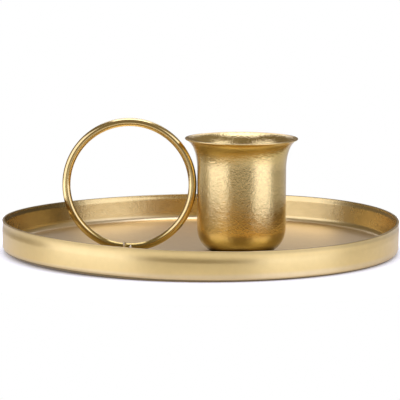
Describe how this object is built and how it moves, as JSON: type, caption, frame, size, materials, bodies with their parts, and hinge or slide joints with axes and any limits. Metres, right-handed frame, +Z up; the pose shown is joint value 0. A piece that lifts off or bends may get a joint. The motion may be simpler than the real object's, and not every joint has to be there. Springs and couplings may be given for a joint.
{
  "type": "candlestick",
  "caption": "Low round tray with an upright wire ring to carry it by and a flared cup for one dinner candle.",
  "frame": {"origin": "middle of the tray's base, on the table", "axes": "+Z up, +X from the ring towards the candle cup along the line that both stand on, -Y towards the viewer"},
  "size_m": [0.107, 0.107, 0.037],
  "materials": {
    "tray": "satin brass, softly rolled sheet",
    "cup": "satin brass with a fine waviness",
    "ring": "glossy drawn brass wire",
    "weld": "pale brass filler"
  },
  "bodies": {
    "root": {"tray": "tray", "candle_cup": "cup", "ring_handle": "ring", "ring_weld_left": "weld", "ring_weld_right": "weld", "cup_weld": "weld"}
  },
  "joints": []
}
